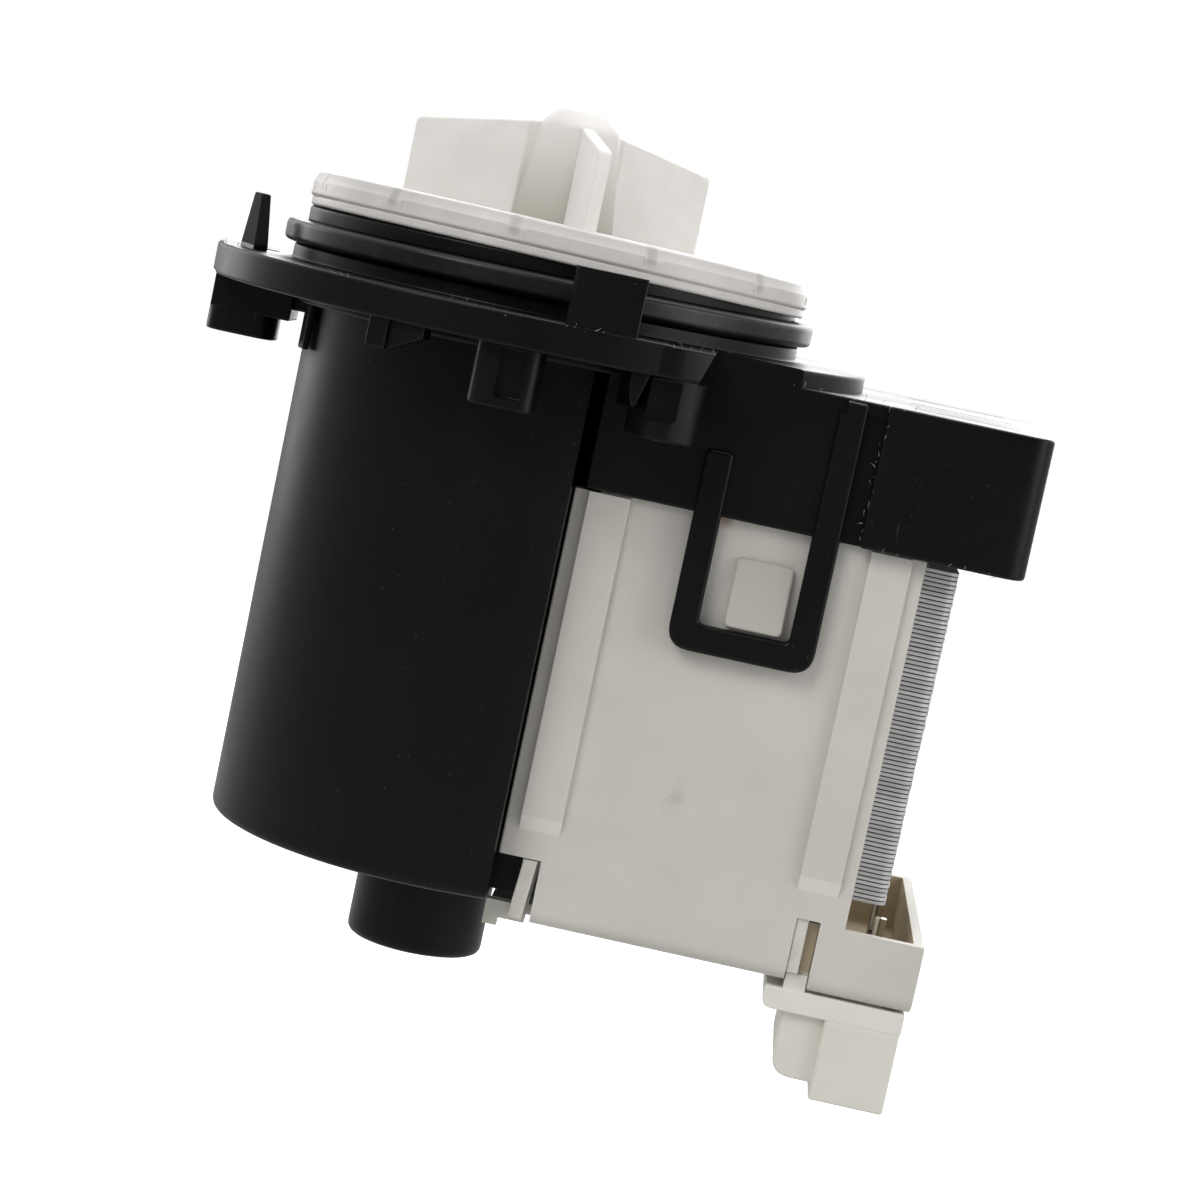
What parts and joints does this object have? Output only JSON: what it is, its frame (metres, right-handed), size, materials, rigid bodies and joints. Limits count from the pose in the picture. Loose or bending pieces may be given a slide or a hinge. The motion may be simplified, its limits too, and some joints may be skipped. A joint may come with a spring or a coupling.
{
  "type": "washer drain pump",
  "caption": "Washer drain pump: round flange with sealing spigot and bladed impeller above a black motor barrel, with a white coil cover, laminated core and plug-in connector beside it.",
  "frame": {"origin": "where the rotor axis meets the flange's upper, sealing face", "axes": "+Z along the rotor axis toward the impeller, +X toward the coils and the connector, -Y toward the side that the picture shows"},
  "size_m": [0.1264, 0.0986, 0.1332],
  "materials": {
    "black_plastic": "moulded, semi-matte",
    "white_plastic": "moulded, matte",
    "cream_plastic": "moulded, matte",
    "impeller_plastic": "moulded, satin",
    "milky_plastic": "translucent, satin",
    "black_rubber": "moulded rubber",
    "motor_steel": "varnished sheet steel",
    "copper_wire": "enamelled wire",
    "tinned_brass": "stamped, tinned",
    "ferrite": "sintered ferrite",
    "steel": "ground",
    "sintered_bronze": "oil-filled",
    "sleeve": "insulating sleeve"
  },
  "bodies": {
    "pump": {"pump_body": "black_plastic", "motor_shroud": "black_plastic", "stator_core": "motor_steel", "bobbin_front": "cream_plastic", "bobbin_rear": "cream_plastic", "winding_front": "copper_wire", "winding_rear": "copper_wire", "coil_cover": "white_plastic", "terminal_block": "cream_plastic", "terminal_tabs": "tinned_brass", "thermal_cutout": "black_plastic", "coil_tails": "sleeve", "chamber_disc": "milky_plastic", "seal_ring": "black_rubber", "front_bearing": "sintered_bronze", "front_bearing_seat": "black_rubber", "rear_bearing": "sintered_bronze", "rear_bearing_seat": "black_rubber", "shaft_seal": "black_rubber"},
    "rotor": {"rotor_shaft": "steel", "rotor_magnet": "ferrite", "rotor_hub": "black_plastic", "drive_dog": "black_plastic", "front_thrust_washer": "steel", "rear_thrust_washer": "steel"},
    "impeller": {"impeller": "impeller_plastic", "hub_lid": "impeller_plastic"}
  },
  "joints": [
    {"name": "rotor_spin", "type": "hinge", "parent": "pump", "child": "rotor", "pos_m": [0, 0, 0], "axis": [0, 0, 1], "continuous": true},
    {"name": "impeller_free_play", "type": "hinge", "parent": "rotor", "child": "impeller", "pos_m": [0, 0, 0], "axis": [0, 0, 1], "range_deg": [-122, 122]}
  ]
}
